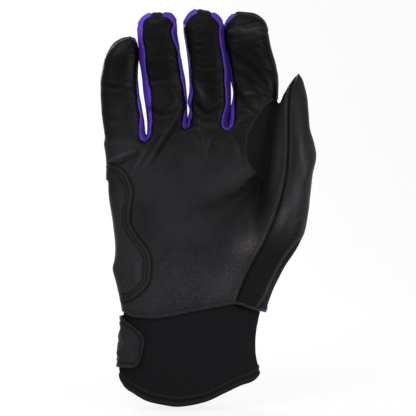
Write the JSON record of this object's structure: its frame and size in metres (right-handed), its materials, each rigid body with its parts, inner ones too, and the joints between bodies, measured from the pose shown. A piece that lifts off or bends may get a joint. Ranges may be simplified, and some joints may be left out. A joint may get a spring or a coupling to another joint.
{
  "type": "batting glove",
  "caption": "Right-hand leather batting glove with stretch finger walls, a heel patch, a mesh thumb gusset, a plain stretch cuff and a wrap-round wrist strap.",
  "frame": {"origin": "middle of the wrist opening across the glove, level with the lowest point of the cuff's hem", "axes": "+Z from the wrist to the fingertips, -Y out of the palm, +X towards the thumb"},
  "size_m": [0.1372, 0.0416, 0.2527],
  "materials": {
    "leather": "black smooth goatskin with a soft sheen and fine creases",
    "heel_leather": "second layer of black leather, double stitched",
    "back_fabric": "black stretch fabric, matte",
    "mesh": "fine black knitted mesh, matte",
    "purple_stretch": "purple stretch knit, matte",
    "neoprene": "black cloth-faced neoprene, matte",
    "binding": "black folded binding tape, stitched",
    "hook_and_loop": "black hook and loop tape",
    "elastic": "black woven elastic"
  },
  "bodies": {
    "hand": {"palm_leather": "leather", "heel_patch": "heel_leather", "back_panel": "back_fabric", "thumb_gusset": "mesh", "thumb_panel_lower": "leather", "web_little_ring": "purple_stretch", "web_ring_middle": "purple_stretch", "web_middle_index": "purple_stretch", "wrist_elastic": "elastic", "cuff": "neoprene", "cuff_hem": "binding", "palm_hem": "leather", "back_trim": "purple_stretch", "strap_anchor": "neoprene", "loop_patch": "hook_and_loop"},
    "little_finger": {"little_front": "leather", "little_back": "back_fabric", "little_radial_wall": "purple_stretch"},
    "ring_finger": {"ring_front": "leather", "ring_back": "back_fabric", "ring_ulnar_wall": "purple_stretch", "ring_radial_wall": "purple_stretch"},
    "middle_finger": {"middle_front": "leather", "middle_back": "back_fabric", "middle_ulnar_wall": "purple_stretch", "middle_radial_wall": "purple_stretch"},
    "index_finger": {"index_front": "leather", "index_back": "back_fabric", "index_ulnar_wall": "purple_stretch"},
    "thumb": {"thumb_inner": "leather", "thumb_outer": "leather"},
    "strap": {"strap_back": "neoprene"},
    "tab": {"strap_tab": "leather", "tab_binding": "binding", "hook_patch": "hook_and_loop"}
  },
  "joints": [
    {"name": "little_curl", "type": "hinge", "parent": "hand", "child": "little_finger", "pos_m": [-0.042, -0.0099, 0.17], "axis": [1, 0, 0], "range_deg": [0, 70]},
    {"name": "ring_curl", "type": "hinge", "parent": "hand", "child": "ring_finger", "pos_m": [-0.015, -0.0111, 0.176], "axis": [0.9986, 0, 0.053], "range_deg": [0, 70]},
    {"name": "middle_curl", "type": "hinge", "parent": "hand", "child": "middle_finger", "pos_m": [0.0125, -0.0113, 0.18], "axis": [0.9988, 0, 0.049], "range_deg": [0, 70]},
    {"name": "index_curl", "type": "hinge", "parent": "hand", "child": "index_finger", "pos_m": [0.0405, -0.0111, 0.1829], "axis": [0.9982, 0, 0.06], "range_deg": [0, 70]},
    {"name": "thumb_fold", "type": "hinge", "parent": "hand", "child": "thumb", "pos_m": [0.0627, -0.0253, 0.14], "axis": [1, 0, 0], "range_deg": [0, 40]},
    {"name": "strap_lift", "type": "hinge", "parent": "hand", "child": "strap", "pos_m": [0.018, 0.0158, 0.041], "axis": [0, 0, -1], "range_deg": [0, 19.5]},
    {"name": "tab_peel", "type": "hinge", "parent": "strap", "child": "tab", "pos_m": [-0.038, 0.0116, 0.041], "axis": [0, 0, -1], "range_deg": [0, 130]}
  ],
  "couplings": [
    {"joint": "strap_lift", "follows": "tab_peel", "ratio": 0.15}
  ]
}
